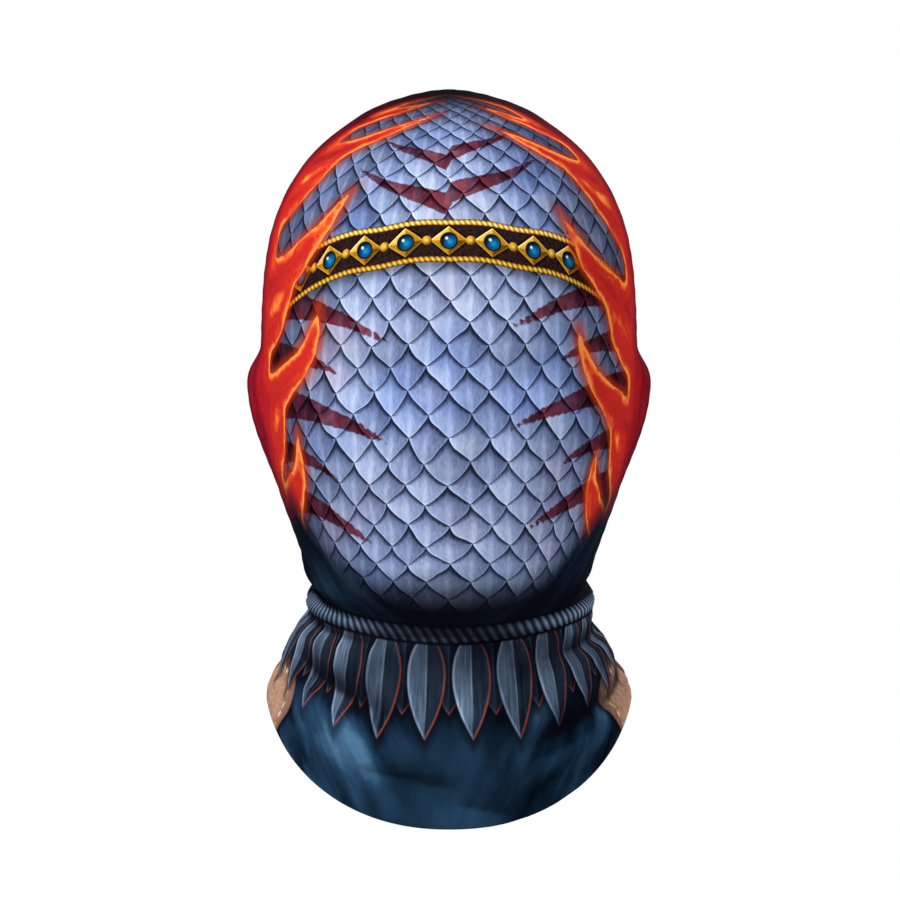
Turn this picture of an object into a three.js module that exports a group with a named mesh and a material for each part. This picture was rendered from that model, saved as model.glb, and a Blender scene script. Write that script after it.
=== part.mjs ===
// Full-head cloth mask: a pull-on hood of printed stretch knit that covers head, neck and collar,
// in the form that a head gives it when it is worn. It is cut as a front and a back panel, sewn
// together along a seam that climbs from the hem beside one ear, over the crown and down the other side.
// Millimetres, +Z up. The face looks along -Y, and the seam lies in the plane y = 0.
// The origin is the point inside the crown that rests on the top of the head.

import * as THREE from "three";

// Driving dimensions
const WALL = 1.5; // thickness of the knit
const SEAM_GAP = 0.3; // between the edges of the two panels
const HOOD_HEIGHT = 321.7; // from the lowest point of the hem to the top of the crown
const SECTION_POWER = 2.15; // of a level section: 2 is an ellipse, more is squarer
const HEM_ROUNDING = 0.27; // how softly the hem turns over the shoulders, as a share of its depth
const NECK_RADIUS = 70; // turns a fold's distance round the neck into an angle
const FOLD_FADE = 0.6; // how a fold dies out towards its ends: less is blunter

// Fineness of the mesh
const FRONT_COLUMNS = 36;
const BACK_COLUMNS = 20;
const NORMAL_STEP = 0.01; // radians or sections, for the slopes that give the cloth's normals

const FRONT_COLOUR = 0x6f7285;
const BACK_COLOUR = 0x23202a;
const CLOTH_ROUGHNESS = 0.85;

// Rows of a table as objects with the columns' names.
function table(columns, ...rows) {
  return rows.map((row) => Object.fromEntries(columns.map((name, i) => [name, row[i]])));
}

// Sections of the hood from hem to crown. Heights are above the lowest point of the hem, at the side,
// front and back of the section. half_width, front and back reach out from the axis of the head.
// rows is the number of mesh rows up to the next section.
const SECTIONS = table(
  ["name", "side_z", "front_z", "back_z", "half_width", "front", "back", "rows"],
  ["hem", 55, 0, 16, 79.2, 94, 84, 2],
  ["shoulder", 60, 18, 30, 79.4, 91.5, 81, 2],
  ["chest", 67, 38, 46, 77.2, 88, 77.5, 2],
  ["collar_bone", 76, 58, 62, 72.2, 83.5, 73.5, 3],
  ["collar", 86, 76, 78, 66.6, 79.5, 70, 4],
  ["throat", 96, 90, 92, 62.4, 80.5, 68, 4],
  ["neck", 106, 102, 105, 61.2, 91, 69, 4],
  ["jaw", 117, 113, 117, 63.4, 98.5, 72, 2],
  ["chin", 130, 126, 130, 67.9, 101, 77.5, 2],
  ["lips", 145, 142, 145, 73.4, 102, 84, 2],
  ["cheek", 161, 159, 161, 77.8, 102.5, 91.5, 2],
  ["ear_lobe", 178, 177, 178, 80.6, 101, 97, 2],
  ["ear", 195, 195, 195, 81.8, 98.5, 100.5, 2],
  ["temple", 212, 212, 212, 81.9, 97.5, 102, 2],
  ["brow", 229, 229, 229, 81.4, 97.5, 101.5, 2],
  ["forehead", 246, 246, 246, 80, 95.5, 99, 2],
  ["hairline", 262, 262, 262, 76.8, 91, 94, 2],
  ["dome_low", 278, 278, 278, 70.3, 83, 86, 2],
  ["dome_mid", 293, 293, 293, 60, 70.5, 73.5, 2],
  ["dome_high", 306, 306, 306, 45, 53, 55.5, 2],
  ["dome_top", 316, 316, 316, 26.8, 32, 33.5, 2],
  ["crown", HOOD_HEIGHT, HOOD_HEIGHT, HOOD_HEIGHT, 0, 0, 0, 0],
);

// What the head presses out of the cloth, or lets it sink into. Angles are from the front, in degrees,
// and every row off the middle stands for a left and a right one. across, above and below are reaches.
const FEATURES = table(
  ["name", "angle", "height", "across", "above", "below", "out"],
  ["nose", 0, 165, 17, 44, 16, 8],
  ["brow", 16, 214, 26, 11, 13, 2.2],
  ["eye_hollow", 20, 196, 20, 13, 15, -3.6],
  ["cheekbone", 40, 176, 28, 20, 28, 2.2],
  ["chin", 0, 114, 24, 15, 15, 3],
  ["ear", 86, 194, 24, 17, 48, 6.2],
);

// Folds where the slack cloth gathers at the neck and spreads on the collar. Each runs along a line whose
// ends are given round the neck from the middle of the front (plus is the wearer's left) and in height.
// out is positive for a roll and negative for a crease.
const FOLDS = table(
  ["name", "from_across", "from_z", "to_across", "to_z", "half_width", "out"],
  ["right_roll_high", -142, 121, -34, 97, 7, 1],
  ["right_crease_high", -142, 114, -30, 89, 7, -4.2],
  ["right_roll_low", -138, 106, -40, 88, 5, 1.4],
  ["right_crease_low", -138, 101, -22, 79, 6, -2.2],
  ["right_shoulder_roll", -140, 90, -64, 76, 12, 1.4],
  ["right_collar_crease", -84, 80, -20, 49, 8, -2.6],
  ["right_collar_roll", -74, 64, -24, 32, 10, 2.2],
  ["left_crease_high", 140, 113, 28, 93, 6, -2.8],
  ["left_roll_high", 140, 106, 40, 92, 6, 2.2],
  ["left_crease_low", 138, 96, 34, 73, 7, -3.2],
  ["left_shoulder_crease", 140, 88, 60, 50, 6, -2.6],
  ["left_collar_crease", 78, 62, 26, 34, 8, -2.4],
  ["left_collar_roll", 70, 48, 22, 22, 9, 1.8],
  ["hem_crease_right", -34, 27, 6, 17, 5, -1.8],
  ["hem_crease_left", -2, 13, 26, 5, 4.5, -1.4],
  ["throat_crease", -46, 84, 46, 84, 7, -2],
  ["nape_crease_high", 170, 104, 280, 104, 7, -2.4],
  ["nape_roll", 174, 94, 276, 94, 7, 1.8],
  ["nape_crease_low", 180, 84, 270, 84, 6, -1.8],
);

// 1 at the middle and 0 at the edge, level at both.
function hump(distance) {
  return Math.abs(distance) < 1 ? (1 - distance ** 2) ** 2 : 0;
}

// A column of the sections at a place that counts sections from the hem, on a Catmull-Rom curve.
// Past the crown the curve mirrors, so the top is level.
function sectionValue(column, place) {
  const last = SECTIONS.length - 1;
  const mirrored = ["half_width", "front", "back"].includes(column) ? -1 : 1;
  const value = (i) => {
    if (i > last) return mirrored * SECTIONS[2 * last - i][column];
    return SECTIONS[Math.max(i, 0)][column];
  };
  const start = Math.min(Math.floor(place), last - 1);
  const t = place - start;
  const [before, a, b, after] = [start - 1, start, start + 1, start + 2].map(value);
  const slopeA = (b - before) / 2;
  const slopeB = (after - a) / 2;
  const bend = (b - a) * 3 - 2 * slopeA - slopeB;
  const twist = slopeA + slopeB - 2 * (b - a);
  return a + t * (slopeA + t * (bend + t * twist));
}

// How far the head's features push the cloth out at an angle and height.
function featureLift(angle, z, radius) {
  let lift = 0;
  for (const feature of FEATURES) {
    const sides = feature.angle === 0 ? [1] : [1, -1];
    for (const side of sides) {
      const turn = angle - side * THREE.MathUtils.degToRad(feature.angle);
      const across = Math.atan2(Math.sin(turn), Math.cos(turn)) * radius;
      const up = z - feature.height;
      const reach = up > 0 ? feature.above : feature.below;
      lift += feature.out * hump(across / feature.across) * hump(up / reach);
    }
  }
  return lift;
}

// How far the folds lift or sink the cloth at an angle and height. A fold dies out towards its ends.
function foldLift(angle, z) {
  let lift = 0;
  for (const fold of FOLDS) {
    const length = new THREE.Vector2(fold.to_across - fold.from_across, fold.to_z - fold.from_z);
    for (const turn of [angle, angle - 2 * Math.PI]) {
      const from = new THREE.Vector2(turn * NECK_RADIUS - fold.from_across, z - fold.from_z);
      const along = from.dot(length) / length.lengthSq();
      if (along <= 0 || along >= 1) continue;
      const aside = from.cross(length) / length.length();
      lift += fold.out * Math.sin(Math.PI * along) ** FOLD_FADE * hump(aside / fold.half_width);
    }
  }
  return lift;
}

// A point on the outside of the cloth. The angle runs from the front, plus towards +X.
function clothPoint(angle, place) {
  const at = (column) => sectionValue(column, place);
  const ahead = Math.cos(angle);
  const aside = Math.sin(angle);
  const depth = ahead > 0 ? at("front") : at("back");
  const endHeight = ahead > 0 ? at("front_z") : at("back_z");
  const halfWidth = at("half_width");
  if (depth <= 0 || halfWidth <= 0) return new THREE.Vector3(0, 0, HOOD_HEIGHT);
  const sum = Math.abs(aside / halfWidth) ** SECTION_POWER + Math.abs(ahead / depth) ** SECTION_POWER;
  const radius = sum ** (-1 / SECTION_POWER);
  const share = Math.hypot((radius * ahead) / depth, HEM_ROUNDING) - HEM_ROUNDING;
  const fullShare = Math.hypot(1, HEM_ROUNDING) - HEM_ROUNDING;
  const z = at("side_z") + ((endHeight - at("side_z")) * share) / fullShare;
  const out = radius + featureLift(angle, z, radius) + foldLift(angle, z);
  return new THREE.Vector3(out * aside, -out * ahead, z);
}

// A point on the inside of the cloth, one wall in from the outside.
function liningPoint(angle, place) {
  const point = clothPoint(angle, place);
  if (place >= SECTIONS.length - 1) return point.setZ(point.z - WALL);
  const round = clothPoint(angle + NORMAL_STEP, place).sub(clothPoint(angle - NORMAL_STEP, place));
  const low = Math.max(place - NORMAL_STEP, 0);
  const up = clothPoint(angle, place + NORMAL_STEP).sub(clothPoint(angle, low));
  return point.addScaledVector(round.cross(up).normalize(), -WALL);
}

// The places of the mesh rows, in sections from the hem, without the crown's point.
function rowPlaces() {
  return SECTIONS.flatMap((section, i) =>
    Array.from({ length: section.rows }, (_, step) => i + step / section.rows),
  );
}

// A closed panel between two angles: an outside and an inside sheet that end in the crown's point,
// with a strip along the hem and one along each edge of the seam.
function panelGeometry(fromAngle, toAngle, columns) {
  const places = rowPlaces();
  const positions = [];
  const triangles = [];
  const angleAt = (column) => fromAngle + ((toAngle - fromAngle) * column) / columns;
  const add = (point) => positions.push(point.x, point.y, point.z) / 3 - 1;
  const quad = (a, b, c, d) => triangles.push(a, b, c, a, c, d);
  const sheets = [clothPoint, liningPoint].map((pointAt) => ({
    grid: places.map((place) =>
      Array.from({ length: columns + 1 }, (_, column) => add(pointAt(angleAt(column), place))),
    ),
    crown: add(pointAt(0, SECTIONS.length - 1)),
  }));
  const [outside, inside] = sheets;
  const top = places.length - 1;
  // The four corners of a cell, from the one whose diagonal climbs away from the front, as the folds do.
  const corners = (sheet, row, column) => {
    const [low, high] = [sheet.grid[row], sheet.grid[row + 1]];
    const ring = [low[column], low[column + 1], high[column + 1], high[column]];
    return Math.sin(angleAt(column + 0.5)) > 0 ? ring : [...ring.slice(1), ring[0]];
  };
  for (let column = 0; column < columns; column++) {
    const next = column + 1;
    for (let row = 0; row < top; row++) {
      quad(...corners(outside, row, column));
      const [a, b, c, d] = corners(inside, row, column);
      quad(a, d, c, b);
    }
    triangles.push(outside.grid[top][column], outside.grid[top][next], outside.crown);
    triangles.push(inside.grid[top][next], inside.grid[top][column], inside.crown);
    quad(inside.grid[0][column], inside.grid[0][next], outside.grid[0][next], outside.grid[0][column]);
  }
  const edge = (sheet, column) => [...sheet.grid.map((row) => row[column]), sheet.crown];
  const [outFirst, inFirst] = [edge(outside, 0), edge(inside, 0)];
  const [outLast, inLast] = [edge(outside, columns), edge(inside, columns)];
  for (let row = 0; row <= top; row++) {
    quad(inFirst[row], outFirst[row], outFirst[row + 1], inFirst[row + 1]);
    quad(outLast[row], inLast[row], inLast[row + 1], outLast[row + 1]);
  }
  const geometry = new THREE.BufferGeometry();
  geometry.setAttribute("position", new THREE.Float32BufferAttribute(positions, 3));
  geometry.setIndex(triangles);
  geometry.computeVertexNormals();
  return geometry;
}

// A panel as a named mesh, moved off the seam's plane by half the gap.
function panel(name, middleAngle, columns, colour) {
  const geometry = panelGeometry(middleAngle - Math.PI / 2, middleAngle + Math.PI / 2, columns);
  const finish = { color: colour, roughness: CLOTH_ROUGHNESS, metalness: 0 };
  const material = new THREE.MeshStandardMaterial(finish);
  const mesh = new THREE.Mesh(geometry, material);
  mesh.name = name;
  mesh.position.y = (-Math.cos(middleAngle) * SEAM_GAP) / 2;
  return mesh;
}

const mask = new THREE.Group();
mask.add(panel("front_panel", 0, FRONT_COLUMNS, FRONT_COLOUR));
mask.add(panel("back_panel", Math.PI, BACK_COLUMNS, BACK_COLOUR));
mask.position.z = WALL - HOOD_HEIGHT;

export default mask;
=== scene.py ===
"""A pull-on hood of printed stretch knit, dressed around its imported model.

The cloth follows the same sections, features and folds as the solids, on a finer mesh and with the small
wrinkles, the drawn-in seam and its thread added. The print is worked out by shader nodes from each point's
place on the cloth: a hide of pointed scales between flames, with painted stripes, a jewelled band over the
brow, a collar of steel leaves over a slate bib, and leather on the shoulders.
"""

import math
from collections import namedtuple

import bpy
import numpy as np
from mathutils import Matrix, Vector


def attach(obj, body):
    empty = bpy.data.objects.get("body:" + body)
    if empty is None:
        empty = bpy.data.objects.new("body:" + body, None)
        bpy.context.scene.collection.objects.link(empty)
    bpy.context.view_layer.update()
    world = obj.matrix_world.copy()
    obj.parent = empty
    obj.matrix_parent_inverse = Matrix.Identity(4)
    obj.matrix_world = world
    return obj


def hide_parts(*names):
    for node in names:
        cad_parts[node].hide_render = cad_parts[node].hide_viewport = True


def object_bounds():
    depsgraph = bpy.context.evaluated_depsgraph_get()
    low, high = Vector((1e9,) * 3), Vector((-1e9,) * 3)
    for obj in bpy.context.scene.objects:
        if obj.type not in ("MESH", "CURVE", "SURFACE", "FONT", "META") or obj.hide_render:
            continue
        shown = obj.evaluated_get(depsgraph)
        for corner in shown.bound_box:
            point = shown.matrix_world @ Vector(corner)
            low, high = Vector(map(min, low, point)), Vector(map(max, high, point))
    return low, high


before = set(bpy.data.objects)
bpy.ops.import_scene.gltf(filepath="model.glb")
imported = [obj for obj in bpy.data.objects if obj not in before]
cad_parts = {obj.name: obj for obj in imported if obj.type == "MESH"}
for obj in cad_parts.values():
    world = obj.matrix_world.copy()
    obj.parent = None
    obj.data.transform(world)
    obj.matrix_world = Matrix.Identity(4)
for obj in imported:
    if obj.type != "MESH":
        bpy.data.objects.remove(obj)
cad_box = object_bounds()

MM = 0.001  # in metres

# Sizes of the hood, in millimetres. Heights in the tables are above the lowest point of the hem.
WALL = 1.5  # thickness of the knit
HOOD_HEIGHT = 321.7  # from the hem's lowest point to the crown
SECTION_POWER = 2.15  # of a level section: 2 is an ellipse, more is squarer
HEM_ROUNDING = 0.27  # how softly the hem turns over the shoulders, as a share of its depth
NECK_RADIUS = 70  # turns a fold's distance round the neck into an angle
FOLD_FADE = 0.6  # how a fold dies out towards its ends: less is blunter
SEAM_ANGLE = 90  # degrees from the middle of the front
SEAM_OPENING = 0.006  # between the edges of the two panels
EAR_HEIGHT = 195

# Fineness of the cloth's mesh
FRONT_COLUMNS = 184
BACK_COLUMNS = 120
FRONT_ROWS = 230
BACK_ROWS = 200
HEM_STEPS = 3  # rows round the hem, between outside and inside
NORMAL_STEP = 0.004  # radians or sections, for the slopes that give the cloth's normals
EASING_ROUNDS = 2  # how often the normals are evened out for the inside
SECTION_SAMPLES = 40  # for each section, to measure the cloth's length
ROW_ANGLES = (0, 45, 90, 135, 180)  # degrees from the front at which the rows' spacing is taken
RING_STEP = 3  # degrees, to measure its girth
SHARP_EDGE = 55  # degrees between faces that meet in a hard edge

# How the seam draws the cloth in, and the thread that shows in it
SEAM_DIP = 0.7
SEAM_DIP_REACH = 4.5
PUCKER_HEIGHT = 0.12
PUCKER_REACH = 10
PUCKER_SPACING = 6.8
PUCKER_DRIFT = 0.7  # how far the puckers stray from even spacing, in radians
PUCKER_DRIFT_LENGTH = 9
SEAM_FINENESS = 4  # points on the seam's line for each row of the front
STITCH_SPACING = 2.6
STITCH_REACH = 0.9
STITCH_SLANT = 0.5
STITCH_RINGS = 7
STITCH_PROUD = 1.2  # a stitch's middle above the cloth, in thread radii
STITCH_DIVE = 2.4  # its ends below that, in thread radii
THREAD_RADIUS = 0.17
THREAD_SIDES = 6

# The knit's loops, and how much of the relief each of its forms has
WALE = 0.85
COURSE = 0.66
LOOP_SLANT = 1.1
YARN_RELIEF = 0.3
GROOVE_RELIEF = 0.25
UNEVEN_RELIEF = 6

# The knit is cut smaller than it is worn
CUT_ACROSS = 0.91
CUT_ALONG = 0.96

# The printed hide: scales round the head, the height of a row by a scale's width, and the least width
SCALES_ROUND = 36
SCALE_ROW_SHARE = 0.62
LEAST_SCALE = 6
SCALE_POINT = 1.5  # how a scale's edges run to its point: more is rounder

# How the flames and stripes are drawn. Those on the left and right differ by a shift in height.
FLAME_JOIN = 2  # how softly the tongues run together
FLAME_SHIFT = 5
FLAME_BEND_IN = 0.95
FLAME_BEND_UP = 0.25
STRIPE_SHIFT = 3
STRIPE_BEND_UP = 0.1
STRIPE_ARCH = 5
STROKE_STEPS = 28
STROKE_TAPER = 0.8
FAR_OUTSIDE = -1e3  # a depth far from any stroke

# The printed band over the brow. Its height is along the cloth, and it sinks towards the sides.
BAND_HALF = 9.6
BAND_HEIGHT = 256
BAND_BEND = 0.0028
BAND_END = (12, 20)  # distances from the seam between which it ends
BAND_SHADOW = 7
BAND_CORD_RADIUS = 1.2
BAND_CORD_INSET = 1.3
LOZENGE_PITCH = 19
LOZENGE_HALF_WIDTH = 8.6
LOZENGE_HALF_HEIGHT = 6.9
STUD_RADIUS = 2.3
GEM_RADIUS = 3.1

# The printed collar, which climbs towards the sides as its leaves get shorter
COLLAR_Z = 84
COLLAR_CLIMB = 16
COLLAR_TURN = (118, -10)  # distances from the seam between which it climbs
COLLAR_CORD_RADIUS = 3.6
CORD_TWISTS = 108
LEAVES_ROUND = 26
LEAF_PITCH = 17
LEAF_LENGTH = 46
LEAF_SHORTENING = 14
LEAF_TURN = (110, 10)  # distances from the seam between which they get shorter
LEAF_FULLNESS = 22
LEAF_SHOULDER = 0.6  # how fast a leaf widens at its root: less is faster

# The leather printed over the shoulders, a rounded shape in the middle of each side
PATCH_Z = 56
PATCH_HALF_WIDTH = 50
PATCH_HALF_HEIGHT = 24
PATCH_POWER = 1.7
PATCH_ROOT = 0.6

# The line where hide and bib meet, lowest under the chin
THROAT_Z = 98
THROAT_BEND = 0.0045
THROAT_CLIMB = 44

# The shade painted into the colour over a crease: its reach above and below the line, in half widths, and
# how fast it fades
SHADE_ABOVE = 2.4
SHADE_BELOW = 0.5
SHADE_FADE = 1.5
FULL_SHADE = 2.4  # a crease this deep has full shade
FULL_LIGHT = 2.2  # a roll this high has full light

# Where the print changes, and the shade painted under the chin, from none to full, by distance from the
# seam or the middle or by height
HIDE_LIGHT_IN = (10, 118)
HIDE_LIGHT_UP = (110, 250)
FIRE_DARK_UP = (276, 332)
CROWN_DARK_UP = (318, 362)
BACK_DARK_IN = (-20, -70)
SIDE_IN = (70, 10)
BIB_MIDDLE_IN = (96, 128)
# where the shadow painted under the chin lies, across and in height
CHIN_SHADOW_ACROSS = (84, 10)
CHIN_SHADOW_FROM_Z = (46, 84)
CHIN_SHADOW_TO_Z = (116, 98)

# The studio, in metres
FLOOR_REACH = 3.0
FLOOR_DROP = 0.16  # below the hem
FLOOR_TONE = 0.82
FLOOR_ROUGHNESS = 0.9
SURROUND_SEEN = 1.0  # how bright the white surround looks, and how much light it gives
SURROUND_LIT = 0.19
LIGHTS_AIM = (0, 0, -0.16)

# The photograph's frame, in pixels
PHOTO_SIZE = 900
MIDDLE_COLUMN = 449
HEM_LINE = 828

# The camera, in millimetres
PIXEL = 0.4353  # a pixel's size at the hood
CAMERA_DISTANCE = 15000
CAMERA_SIGHT = 100000
SENSOR = 36


def table(columns, *rows):
    """Rows of a table as records with the columns' names."""
    record = namedtuple("record", columns)
    return [record(*row) for row in rows]


# Sections from hem to crown, with heights at the side, front and back and reaches from the head's axis
SECTIONS = table(
    "name side_z front_z back_z half_width front back",
    ("hem", 55, 0, 16, 79.2, 94, 84),
    ("shoulder", 60, 18, 30, 79.4, 91.5, 81),
    ("chest", 67, 38, 46, 77.2, 88, 77.5),
    ("collar_bone", 76, 58, 62, 72.2, 83.5, 73.5),
    ("collar", 86, 76, 78, 66.6, 79.5, 70),
    ("throat", 96, 90, 92, 62.4, 80.5, 68),
    ("neck", 106, 102, 105, 61.2, 91, 69),
    ("jaw", 117, 113, 117, 63.4, 98.5, 72),
    ("chin", 130, 126, 130, 67.9, 101, 77.5),
    ("lips", 145, 142, 145, 73.4, 102, 84),
    ("cheek", 161, 159, 161, 77.8, 102.5, 91.5),
    ("ear_lobe", 178, 177, 178, 80.6, 101, 97),
    ("ear", 195, 195, 195, 81.8, 98.5, 100.5),
    ("temple", 212, 212, 212, 81.9, 97.5, 102),
    ("brow", 229, 229, 229, 81.4, 97.5, 101.5),
    ("forehead", 246, 246, 246, 80, 95.5, 99),
    ("hairline", 262, 262, 262, 76.8, 91, 94),
    ("dome_low", 278, 278, 278, 70.3, 83, 86),
    ("dome_mid", 293, 293, 293, 60, 70.5, 73.5),
    ("dome_high", 306, 306, 306, 45, 53, 55.5),
    ("dome_top", 316, 316, 316, 26.8, 32, 33.5),
    ("crown", HOOD_HEIGHT, HOOD_HEIGHT, HOOD_HEIGHT, 0, 0, 0),
)
LAST_SECTION = len(SECTIONS) - 1
EAR_SECTION = [section.name for section in SECTIONS].index("ear")

# What the head presses out of the cloth, left and right alike
FEATURES = table(
    "name angle height across above below out",
    ("nose", 0, 165, 17, 44, 16, 8),
    ("brow", 16, 214, 26, 11, 13, 2.2),
    ("eye_hollow", 20, 196, 20, 13, 15, -3.6),
    ("cheekbone", 40, 176, 28, 20, 28, 2.2),
    ("chin", 0, 114, 24, 15, 15, 3),
    ("ear", 86, 194, 24, 17, 48, 6.2),
)

# Rolls and creases of the slack cloth, from one end to the other, round the neck and in height
FOLD_COLUMNS = "name from_across from_z to_across to_z half_width out"
FOLDS = table(
    FOLD_COLUMNS,
    ("right_roll_high", -142, 121, -34, 97, 7, 1),
    ("right_crease_high", -142, 114, -30, 89, 7, -4.2),
    ("right_roll_low", -138, 106, -40, 88, 5, 1.4),
    ("right_crease_low", -138, 101, -22, 79, 6, -2.2),
    ("right_shoulder_roll", -140, 90, -64, 76, 12, 1.4),
    ("right_collar_crease", -84, 80, -20, 49, 8, -2.6),
    ("right_collar_roll", -74, 64, -24, 32, 10, 2.2),
    ("left_crease_high", 140, 113, 28, 93, 6, -2.8),
    ("left_roll_high", 140, 106, 40, 92, 6, 2.2),
    ("left_crease_low", 138, 96, 34, 73, 7, -3.2),
    ("left_shoulder_crease", 140, 88, 60, 50, 6, -2.6),
    ("left_collar_crease", 78, 62, 26, 34, 8, -2.4),
    ("left_collar_roll", 70, 48, 22, 22, 9, 1.8),
    ("hem_crease_right", -34, 27, 6, 17, 5, -1.8),
    ("hem_crease_left", -2, 13, 26, 5, 4.5, -1.4),
    ("throat_crease", -46, 84, 46, 84, 7, -2),
    ("nape_crease_high", 170, 104, 280, 104, 7, -2.4),
    ("nape_roll", 174, 94, 276, 94, 7, 1.8),
    ("nape_crease_low", 180, 84, 270, 84, 6, -1.8),
)

# Small wrinkles beside the main folds, which only the fine mesh can hold
WRINKLES = table(
    FOLD_COLUMNS,
    ("right_neck_pleat", -120, 124, -62, 107, 3, -0.7),
    ("right_neck_tuck", -104, 96, -48, 84, 3, -0.9),
    ("right_jaw_pull", -96, 138, -44, 112, 4, -0.5),
    ("right_shoulder_line", -122, 78, -70, 60, 4, -0.7),
    ("right_bib_pull", -60, 46, -34, 14, 4, -0.7),
    ("left_neck_pleat", 118, 122, 58, 103, 3, -0.7),
    ("left_neck_tuck", 112, 88, 52, 76, 3, -0.9),
    ("left_jaw_pull", 94, 136, 46, 111, 4, -0.5),
    ("left_shoulder_line", 126, 70, 84, 52, 4, -0.7),
    ("left_bib_pull", 52, 40, 40, 10, 4, -0.7),
    ("throat_tuck", -30, 92, 24, 90, 3, -0.8),
    ("bib_middle_pull", -14, 62, 4, 34, 5, -0.6),
    ("nape_tuck_high", 186, 112, 240, 110, 3, -0.7),
    ("nape_tuck_low", 200, 76, 262, 73, 4, -0.7),
    ("nape_pull_right", 232, 66, 250, 36, 5, -0.7),
    ("nape_pull_left", 198, 62, 186, 34, 5, -0.7),
)

# Tongues of flame, by height on the cloth and distance from the seam, with half the width of their roots
FLAMES = table(
    "root_height root_inset tip_height tip_inset half_width",
    (112, 22, 140, 46, 9.5),
    (132, 30, 168, 68, 10.5),
    (158, 32, 187, 54, 9.5),
    (180, 32, 222, 80, 11.5),
    (210, 32, 239, 57, 9.5),
    (230, 32, 274, 78, 11.5),
    (268, 31, 297, 51, 9.5),
    (288, 30, 325, 62, 9.5),
    (316, 26, 343, 43, 7),
)

# How far the flames reach without their tongues
FLAME_BAND = table(
    "height inset",
    (100, 20),
    (130, 31),
    (165, 38),
    (200, 35),
    (240, 33),
    (280, 34),
    (310, 33),
    (345, 32),
)

# Painted stripes on the hide, by distance from the middle of the front, left and right alike
STRIPES = table(
    "root_across root_height tip_across tip_height half_width",
    (108, 146, 30, 122, 8.0),
    (108, 166, 50, 152, 6.2),
    (108, 188, 24, 166, 8.6),
    (106, 208, 46, 198, 6.4),
    (104, 230, 20, 212, 8.0),
    (0, 276, 46, 296, 5.6),
    (0, 298, 32, 314, 4.6),
)

# Soft square lamps, in metres and watts
LIGHTS = table(
    "name place size power",
    ("key", (-1.1, -1.25, 1.75), 0.4, 64),
    ("fill", (1.6, -1.7, 0.2), 1.2, 13),
    ("back", (0.9, 1.9, 1.2), 1.0, 46),
)


def hump(distance):
    """1 at the middle and 0 at the edge, level at both."""
    inside = np.clip(np.abs(distance), 0, 1)
    return (1 - inside**2) ** 2


def section_value(column, place):
    """A column of the sections at places that count sections from the hem, on a Catmull-Rom curve."""
    values = np.array([getattr(section, column) for section in SECTIONS], float)
    mirrored = -1 if column in ("half_width", "front", "back") else 1
    values = np.concatenate([values[:1], values, mirrored * values[-2:-1]])
    start = np.minimum(np.floor(place).astype(int), LAST_SECTION - 1)
    t = place - start
    before, a, b, after = (values[start + step] for step in range(4))
    slope_a = (b - before) / 2
    slope_b = (after - a) / 2
    bend = (b - a) * 3 - 2 * slope_a - slope_b
    twist = slope_a + slope_b - 2 * (b - a)
    return a + t * (slope_a + t * (bend + t * twist))


def feature_lift(angle, z, radius):
    """How far the head's features push the cloth out."""
    lift = np.zeros_like(z)
    for feature in FEATURES:
        sides = [1] if feature.angle == 0 else [1, -1]
        for side in sides:
            turn = angle - side * math.radians(feature.angle)
            across = np.arctan2(np.sin(turn), np.cos(turn)) * radius
            up = z - feature.height
            reach = np.where(up > 0, feature.above, feature.below)
            lift += feature.out * hump(across / feature.across) * hump(up / reach)
    return lift


def fold_places(fold, angle, z):
    """A fold's strength, which dies out towards its ends, and how far points lie above its line.

    Both are given for the angles as they are and for one turn back, where a fold may go on.
    """
    run = fold.to_across - fold.from_across
    climb = fold.to_z - fold.from_z
    length = math.hypot(run, climb)
    for turn in (angle, angle - 2 * math.pi):
        across = turn * NECK_RADIUS - fold.from_across
        up = z - fold.from_z
        along = np.clip((across * run + up * climb) / length**2, 0, 1)
        above = (up * run - across * climb) / length * math.copysign(1, run)
        yield np.sin(math.pi * along) ** FOLD_FADE, above


def fold_lift(angle, z, folds):
    """How far folds lift or sink the cloth."""
    lift = np.zeros_like(z)
    for fold in folds:
        for strength, above in fold_places(fold, angle, z):
            lift += fold.out * strength * hump(above / fold.half_width)
    return lift


def painted_fold_shading(angle, z):
    """Painted light on the rolls, up to 1, and painted shade in the creases, down to -1, mostly above their
    lines.
    """
    shade = np.zeros_like(z)
    for fold in FOLDS + WRINKLES:
        depth = min(max(-fold.out / FULL_SHADE, 0), 1)
        for strength, above in fold_places(fold, angle, z):
            reach = np.where(above > 0, SHADE_ABOVE, SHADE_BELOW) * fold.half_width
            nearness = np.clip(1 - np.abs(above) / reach, 0, 1)
            shade = np.maximum(shade, depth * strength * nearness**SHADE_FADE)
    light = np.clip(fold_lift(angle, z, FOLDS) / FULL_LIGHT, 0, 1)
    return light * (1 - shade) - shade


def cloth_point(angle, place, folds=FOLDS):
    """Points on the outside of the cloth. The angle runs from the front, plus towards +X."""
    angle, place = np.broadcast_arrays(angle, place)
    ahead = np.cos(angle)
    aside = np.sin(angle)
    forward = ahead > 0
    depth = np.where(forward, section_value("front", place), section_value("back", place))
    end_z = np.where(forward, section_value("front_z", place), section_value("back_z", place))
    side_z = section_value("side_z", place)
    half_width = section_value("half_width", place)
    total = np.abs(aside / half_width) ** SECTION_POWER + np.abs(ahead / depth) ** SECTION_POWER
    radius = total ** (-1 / SECTION_POWER)
    share = np.hypot(radius * ahead / depth, HEM_ROUNDING) - HEM_ROUNDING
    full_share = math.hypot(1, HEM_ROUNDING) - HEM_ROUNDING
    z = side_z + (end_z - side_z) * share / full_share
    out = radius + feature_lift(angle, z, radius) + fold_lift(angle, z, folds)
    return np.stack([out * aside, -out * ahead, z], axis=-1)


def unit(vectors):
    """Vectors scaled to a length of 1."""
    return vectors / np.linalg.norm(vectors, axis=-1, keepdims=True)


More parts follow.
